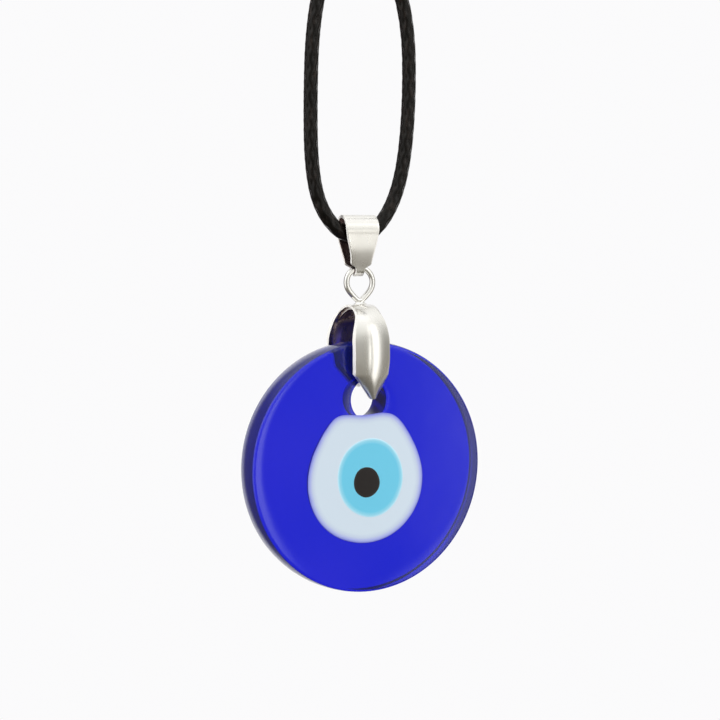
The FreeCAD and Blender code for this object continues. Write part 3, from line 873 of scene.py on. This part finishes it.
def make_ribbon_bail():
    rows = []
    for y, z in ribbon_path():
        half = ribbon_half_width(z)
        row = []
        for j in range(STRIP_ACROSS + 1):
            x = half * (2 * j / STRIP_ACROSS - 1)
            row.append(at(STRIP_ASIDE + x * math.cos(STRIP_TURN) - y * math.sin(STRIP_TURN),
                          x * math.sin(STRIP_TURN) + y * math.cos(STRIP_TURN), z))
        rows.append(row)
    middle = at(0, 0, (STRIP_TOP[1] + STRIP_EYE[1]) / 2)
    strip = sheet_from_rows("ribbon_strip", rows, STRIP_SHEET, 0.09, False, middle)
    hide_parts("cord_bail")
    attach(strip, "cord_bail")


# ---------------------------------------------------------------- cord

CORD_DIAMETER = 2.0 * MM
CORD_ROUTE = [
    (-4.35, 82.3), (-4.35, 76.0), (-5.3, 69.4), (-7.2, 61.0), (-7.6, 50.5),
    (-7.5, 41.6), (-6.2, 35.9), (-2.7, 32.1),
    (1.4, 32.1), (4.8, 36.1), (6.75, 42.0), (7.65, 51.0),
    (7.6, 61.5), (5.4, 69.4), (4.35, 76.0), (4.35, 82.3),
]
BRAID_PITCH = 5.2 * MM
BRAID_STRANDS = 4
BRAID_DEPTH = 0.2 * MM


def cord_line():
    """Points along the smooth line of the cord's route."""
    data = bpy.data.curves.new("cord_route", "CURVE")
    data.dimensions = "3D"
    data.resolution_u = 40
    spline = data.splines.new("NURBS")
    spline.points.add(len(CORD_ROUTE) - 1)
    for point, (x, z) in zip(spline.points, CORD_ROUTE):
        point.co = (*at(x, 0, z), 1)
    spline.order_u = 3
    spline.use_endpoint_u = True
    holder = bpy.data.objects.new("cord_route", data)
    bpy.context.scene.collection.objects.link(holder)
    graph = bpy.context.evaluated_depsgraph_get()
    mesh = bpy.data.meshes.new_from_object(holder.evaluated_get(graph))
    line = [Vector(v.co) for v in mesh.vertices]
    bpy.data.objects.remove(holder)
    bpy.data.meshes.remove(mesh)
    return line


def evenly(line, step):
    """The same line with points a fixed step apart."""
    marks = [0.0]
    for a, b in zip(line, line[1:]):
        marks.append(marks[-1] + (b - a).length)
    count = round(marks[-1] / step)
    wanted = np.linspace(0, marks[-1], count + 1)
    axes = [np.interp(wanted, marks, [p[k] for p in line]) for k in range(3)]
    return [Vector(p) for p in zip(*axes)], marks[-1] / count


def braid_height(turn, along):
    """Height of the braided surface, 0 to 1: two sets of strands that pass over each other."""
    left = BRAID_STRANDS * turn / (2 * math.pi) + along / BRAID_PITCH * BRAID_STRANDS / 2
    right = BRAID_STRANDS * turn / (2 * math.pi) - along / BRAID_PITCH * BRAID_STRANDS / 2
    over = 0.5 + 0.5 * math.sin(math.pi * (left - right)) * math.sin(math.pi * (left + right))
    ridge_left = abs(math.sin(math.pi * left)) ** 0.7
    ridge_right = abs(math.sin(math.pi * right)) ** 0.7
    return over * ridge_left + (1 - over) * ridge_right


def make_cord():
    line, step = evenly(cord_line(), 0.12 * MM)
    around = 48
    side = Vector((0, 1, 0))
    points = []
    for i, middle in enumerate(line):
        ahead = (line[min(i + 1, len(line) - 1)] - line[max(i - 1, 0)]).normalized()
        other = side.cross(ahead).normalized()
        for j in range(around):
            turn = 2 * math.pi * j / around
            sunk = BRAID_DEPTH * (1 - braid_height(turn, i * step))
            radius = CORD_DIAMETER / 2 - sunk
            points.append(middle + (side * math.sin(turn) + other * math.cos(turn)) * radius)
    faces = grid_faces(len(line), around, False, True)
    faces.append(tuple(reversed(range(around))))
    faces.append(tuple((len(line) - 1) * around + j for j in range(around)))
    cord = new_mesh("braided_cord", points, faces)
    recalculate(cord)
    cord.data.materials.append(MATERIALS["waxed_cord"])
    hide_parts("cord")
    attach(cord, "cord_loop")


# ---------------------------------------------------------------- CAD nodes that stay

def dress_cad_nodes():
    finishes = {
        "silver_plate": ("pinch_bail_prong_front", "pinch_bail_prong_back"),
        "plated_wire": ("clasp_ring_left", "clasp_ring_right"),
        "clasp_metal": ("cord_end_left", "cord_end_right", "clasp_body", "clasp_lever",
                        "clasp_pin"),
        "spring_steel": ("clasp_spring",),
    }
    for slot, nodes in finishes.items():
        for node in nodes:
            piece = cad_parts[node]
            piece.data.materials.clear()
            piece.data.materials.append(MATERIALS[slot])


MATERIALS = {
    "cobalt_glass": cobalt_glass(),
    "white_glass": opaque_glass("white_glass", [
        (0.0, (0.10, 0.11, 0.52)), (0.22, (0.30, 0.34, 0.66)), (0.5, (0.44, 0.51, 0.65)),
        (0.85, (0.50, 0.585, 0.68))]),
    "light_blue_glass": opaque_glass("light_blue_glass", [
        (0.0, (0.46, 0.66, 0.78)), (0.35, (0.22, 0.53, 0.68)), (0.75, (0.12, 0.465, 0.65))]),
    "black_glass": opaque_glass("black_glass", [
        (0.0, (0.05, 0.12, 0.15)), (0.3, (0.012, 0.011, 0.011)), (1.0, (0.008, 0.006, 0.006))]),
    "silver_plate": plated("silver_plate", (0.92, 0.905, 0.87), 0.27, (1, 1, 0.25)),
    "plated_wire": plated("plated_wire", (0.93, 0.92, 0.90), 0.12, (1, 1, 1)),
    "clasp_metal": plated("clasp_metal", (0.85, 0.84, 0.82), 0.22, (1, 1, 1)),
    "waxed_cord": waxed_cord(),
    "spring_steel": spring_steel(),
}

make_camera()
make_lights()
make_world()
make_floor()
make_cord()
make_disc()
make_eye()
make_pinch_bail()
make_ring()
make_solder()
make_ribbon_bail()
dress_cad_nodes()
